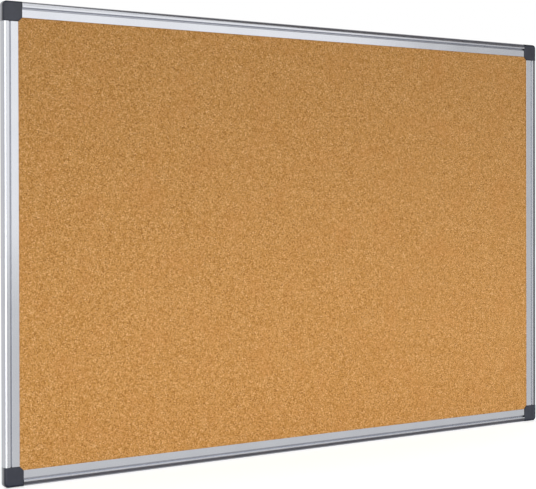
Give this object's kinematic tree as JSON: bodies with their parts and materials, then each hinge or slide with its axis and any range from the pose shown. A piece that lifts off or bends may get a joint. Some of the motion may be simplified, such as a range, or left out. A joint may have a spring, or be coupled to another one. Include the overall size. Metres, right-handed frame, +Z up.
{
  "type": "cork notice board",
  "caption": "Wall-hung cork notice board in a slim aluminium frame with pull-off plastic corner caps over the screw holes.",
  "frame": {"origin": "middle of the board, on the plane of the wall that it hangs on", "axes": "+X across the board to the right as seen from the front, +Z up, +Y into the wall, so the cork faces -Y"},
  "size_m": [0.9, 0.0114, 0.6],
  "materials": {
    "cork": "fine-grain agglomerated cork, matt",
    "softboard": "raw fibreboard",
    "backing": "plain brown card",
    "aluminium": "satin anodised",
    "bracket_plastic": "moulded, fine matt",
    "cap_plastic": "moulded, fine satin",
    "screw_steel": "zinc plated"
  },
  "bodies": {
    "board": {"cork_sheet": "cork", "softboard_core": "softboard", "backing_sheet": "backing", "rail_top": "aluminium", "rail_bottom": "aluminium", "rail_left": "aluminium", "rail_right": "aluminium", "corner_bracket_top_left": "bracket_plastic", "corner_bracket_top_right": "bracket_plastic", "corner_bracket_bottom_left": "bracket_plastic", "corner_bracket_bottom_right": "bracket_plastic", "frame_screw_top_left": "screw_steel", "frame_screw_top_right": "screw_steel", "frame_screw_bottom_left": "screw_steel", "frame_screw_bottom_right": "screw_steel", "frame_screw_left_bottom": "screw_steel", "frame_screw_left_top": "screw_steel", "frame_screw_right_bottom": "screw_steel", "frame_screw_right_top": "screw_steel"},
    "cap_top_left": {"corner_cap_top_left": "cap_plastic"},
    "cap_top_right": {"corner_cap_top_right": "cap_plastic"},
    "cap_bottom_left": {"corner_cap_bottom_left": "cap_plastic"},
    "cap_bottom_right": {"corner_cap_bottom_right": "cap_plastic"}
  },
  "joints": [
    {"name": "cap_pull_top_left", "type": "slide", "parent": "board", "child": "cap_top_left", "axis": [0, -1, 0], "range_m": [0, 0.008]},
    {"name": "cap_pull_top_right", "type": "slide", "parent": "board", "child": "cap_top_right", "axis": [0, -1, 0], "range_m": [0, 0.008]},
    {"name": "cap_pull_bottom_left", "type": "slide", "parent": "board", "child": "cap_bottom_left", "axis": [0, -1, 0], "range_m": [0, 0.008]},
    {"name": "cap_pull_bottom_right", "type": "slide", "parent": "board", "child": "cap_bottom_right", "axis": [0, -1, 0], "range_m": [0, 0.008]}
  ]
}
